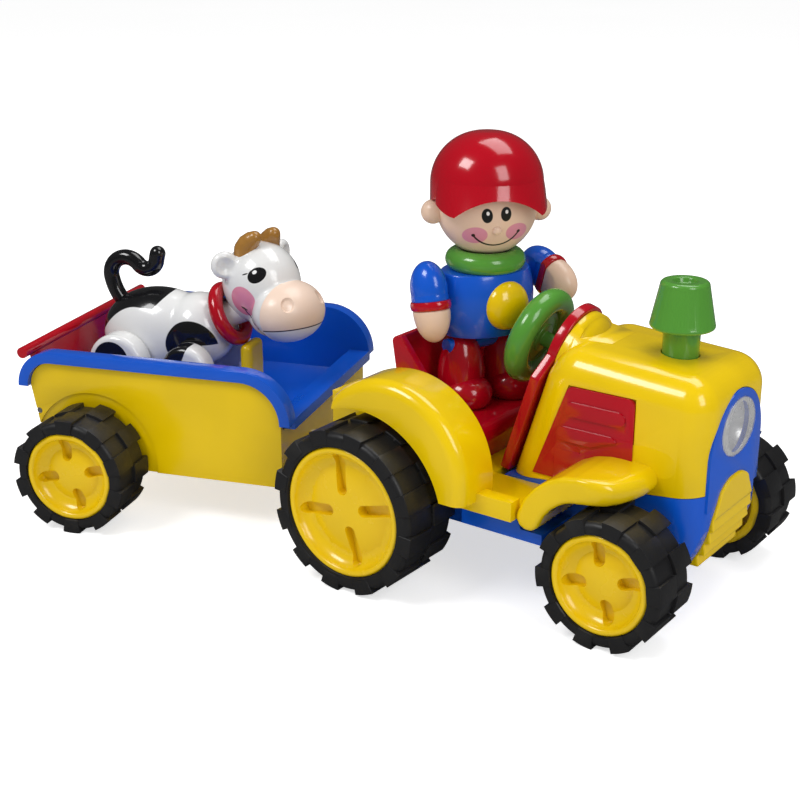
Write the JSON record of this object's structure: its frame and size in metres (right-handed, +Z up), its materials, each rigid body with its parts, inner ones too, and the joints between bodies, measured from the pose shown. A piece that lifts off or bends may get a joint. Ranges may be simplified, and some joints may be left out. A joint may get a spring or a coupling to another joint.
{
  "type": "toy tractor with trailer",
  "caption": "Push-along toy tractor with a hitched tailgate trailer, a lift-out jointed driver figure at the wheel and a jointed cow in the bed.",
  "frame": {"origin": "on the ground under the middle of the outline of tractor and trailer as posed", "axes": "+X the way the tractor drives, +Y to its left, +Z up"},
  "size_m": [0.3264, 0.1896, 0.1679],
  "materials": {
    "yellow_body": "glossy moulded plastic",
    "amber_hub": "satin moulded plastic",
    "black_tyre": "matt moulded tread",
    "blue_body": "glossy moulded plastic",
    "red_trim": "glossy moulded plastic",
    "green_trim": "glossy moulded plastic",
    "steel": "plain drawn steel",
    "mirror_silver": "vacuum metallised",
    "clear_lens": "clear moulded",
    "skin": "satin vinyl",
    "blue_hips": "moulded plastic",
    "white_cow": "glossy plastic with printed patches",
    "pink_muzzle": "satin vinyl",
    "brown_horn": "glossy moulded plastic",
    "black_tail": "glossy moulded plastic"
  },
  "bodies": {
    "tractor": {"chassis": "blue_body", "chassis_screws": "steel", "bonnet": "yellow_body", "side_panel_right": "red_trim", "side_panel_left": "red_trim", "dashboard": "red_trim", "headlamp_reflector": "mirror_silver", "headlamp_lens": "clear_lens", "grille": "yellow_body", "fender_deck": "yellow_body", "seat": "red_trim", "hitch_pin": "steel"},
    "rear_wheels": {"rear_axle": "steel", "rear_tyre_right": "black_tyre", "rear_tyre_left": "black_tyre", "rear_hub_right": "amber_hub", "rear_hub_left": "amber_hub"},
    "front_wheels": {"front_axle": "steel", "front_tyre_right": "black_tyre", "front_tyre_left": "black_tyre", "front_hub_right": "amber_hub", "front_hub_left": "amber_hub"},
    "steering": {"steering_wheel": "green_trim"},
    "stack": {"exhaust_stack": "green_trim", "exhaust_spring": "steel"},
    "trailer": {"trailer_bed": "yellow_body", "trailer_liner": "blue_body"},
    "trailer_wheels": {"trailer_axle": "steel", "trailer_tyre_right": "black_tyre", "trailer_tyre_left": "black_tyre", "trailer_hub_right": "amber_hub", "trailer_hub_left": "amber_hub"},
    "gate": {"tailgate": "red_trim", "tailgate_pin": "steel"},
    "driver": {"driver_boot_right": "red_trim", "driver_boot_left": "red_trim", "driver_hips": "blue_hips", "driver_torso": "blue_body", "driver_collar": "green_trim", "driver_button": "yellow_body"},
    "driver_head": {"driver_head": "skin", "driver_cap": "red_trim"},
    "driver_right_arm": {"driver_sleeve_right": "blue_body", "driver_cuff_right": "red_trim", "driver_hand_right": "skin"},
    "driver_left_arm": {"driver_sleeve_left": "blue_body", "driver_cuff_left": "red_trim", "driver_hand_left": "skin"},
    "cow": {"cow_body": "white_cow", "cow_collar": "red_trim", "cow_bell": "yellow_body", "cow_tail": "black_tail"},
    "cow_head": {"cow_head": "white_cow", "cow_muzzle": "pink_muzzle", "cow_horns": "brown_horn"},
    "cow_rear_right_leg": {"cow_rear_leg_right": "white_cow"},
    "cow_rear_left_leg": {"cow_rear_leg_left": "white_cow"},
    "cow_front_right_leg": {"cow_front_leg_right": "white_cow"},
    "cow_front_left_leg": {"cow_front_leg_left": "white_cow"}
  },
  "joints": [
    {"name": "rear_axle_spin", "type": "hinge", "parent": "tractor", "child": "rear_wheels", "pos_m": [0.0379, 0.0168, 0.0329], "axis": [0, 1, 0], "continuous": true},
    {"name": "front_axle_spin", "type": "hinge", "parent": "tractor", "child": "front_wheels", "pos_m": [0.1379, 0.0168, 0.025], "axis": [0, 1, 0], "continuous": true},
    {"name": "steering_turn", "type": "hinge", "parent": "tractor", "child": "steering", "pos_m": [0.09252, 0.0168, 0.08595], "axis": [0.9537, 0, -0.3007], "continuous": true},
    {"name": "stack_press", "type": "slide", "parent": "tractor", "child": "stack", "axis": [0, 0, -1], "range_m": [0, 0.0015], "stiffness_N_per_m": 400, "springref_m": -0.001, "deforming": ["exhaust_spring"]},
    {"name": "hitch_swing", "type": "hinge", "parent": "tractor", "child": "trailer", "pos_m": [-0.0281, 0.0168, 0.02], "axis": [0, 0, 1], "range_deg": [-54, 15]},
    {"name": "trailer_axle_spin", "type": "hinge", "parent": "trailer", "child": "trailer_wheels", "pos_m": [-0.11301, -0.01303, 0.025], "axis": [-0.3315, 0.9435, 0], "continuous": true},
    {"name": "tailgate_swing", "type": "hinge", "parent": "trailer", "child": "gate", "pos_m": [-0.13754, -0.02165, 0.0435], "axis": [0.3315, -0.9435, 0], "range_deg": [0, 100]},
    {"name": "driver_lift", "type": "slide", "parent": "tractor", "child": "driver", "axis": [0, 0, 1], "range_m": [0, 0.06]},
    {"name": "driver_head_turn", "type": "hinge", "parent": "driver", "child": "driver_head", "pos_m": [0.0484, 0.0198, 0.13931], "axis": [0, 0, 1], "range_deg": [-55, 105]},
    {"name": "driver_right_arm_swing", "type": "hinge", "parent": "driver", "child": "driver_right_arm", "pos_m": [0.04093, -0.00073, 0.11085], "axis": [-0.342, -0.9397, 0], "range_deg": [-52, 108]},
    {"name": "driver_left_arm_swing", "type": "hinge", "parent": "driver", "child": "driver_left_arm", "pos_m": [0.05587, 0.04033, 0.11085], "axis": [-0.342, -0.9397, 0], "range_deg": [-112, 48]},
    {"name": "cow_lift", "type": "slide", "parent": "trailer", "child": "cow", "axis": [0, 0, 1], "range_m": [0, 0.06]},
    {"name": "cow_head_turn", "type": "hinge", "parent": "cow", "child": "cow_head", "pos_m": [-0.07339, 0.00089, 0.0783], "axis": [0.8585, 0.3017, 0.4147], "range_deg": [-13, 57]},
    {"name": "cow_rear_right_leg_swing", "type": "hinge", "parent": "cow", "child": "cow_rear_right_leg", "pos_m": [-0.11009, -0.0304, 0.0578], "axis": [-0.3315, 0.9435, 0], "range_deg": [-25, 25]},
    {"name": "cow_rear_left_leg_swing", "type": "hinge", "parent": "cow", "child": "cow_rear_left_leg", "pos_m": [-0.12159, 0.00234, 0.0578], "axis": [-0.3315, 0.9435, 0], "range_deg": [-25, 25]},
    {"name": "cow_front_right_leg_swing", "type": "hinge", "parent": "cow", "child": "cow_front_right_leg", "pos_m": [-0.07896, -0.01946, 0.0578], "axis": [-0.3315, 0.9435, 0], "range_deg": [-25, 25]},
    {"name": "cow_front_left_leg_swing", "type": "hinge", "parent": "cow", "child": "cow_front_left_leg", "pos_m": [-0.09046, 0.01328, 0.0578], "axis": [-0.3315, 0.9435, 0], "range_deg": [-25, 25]}
  ]
}
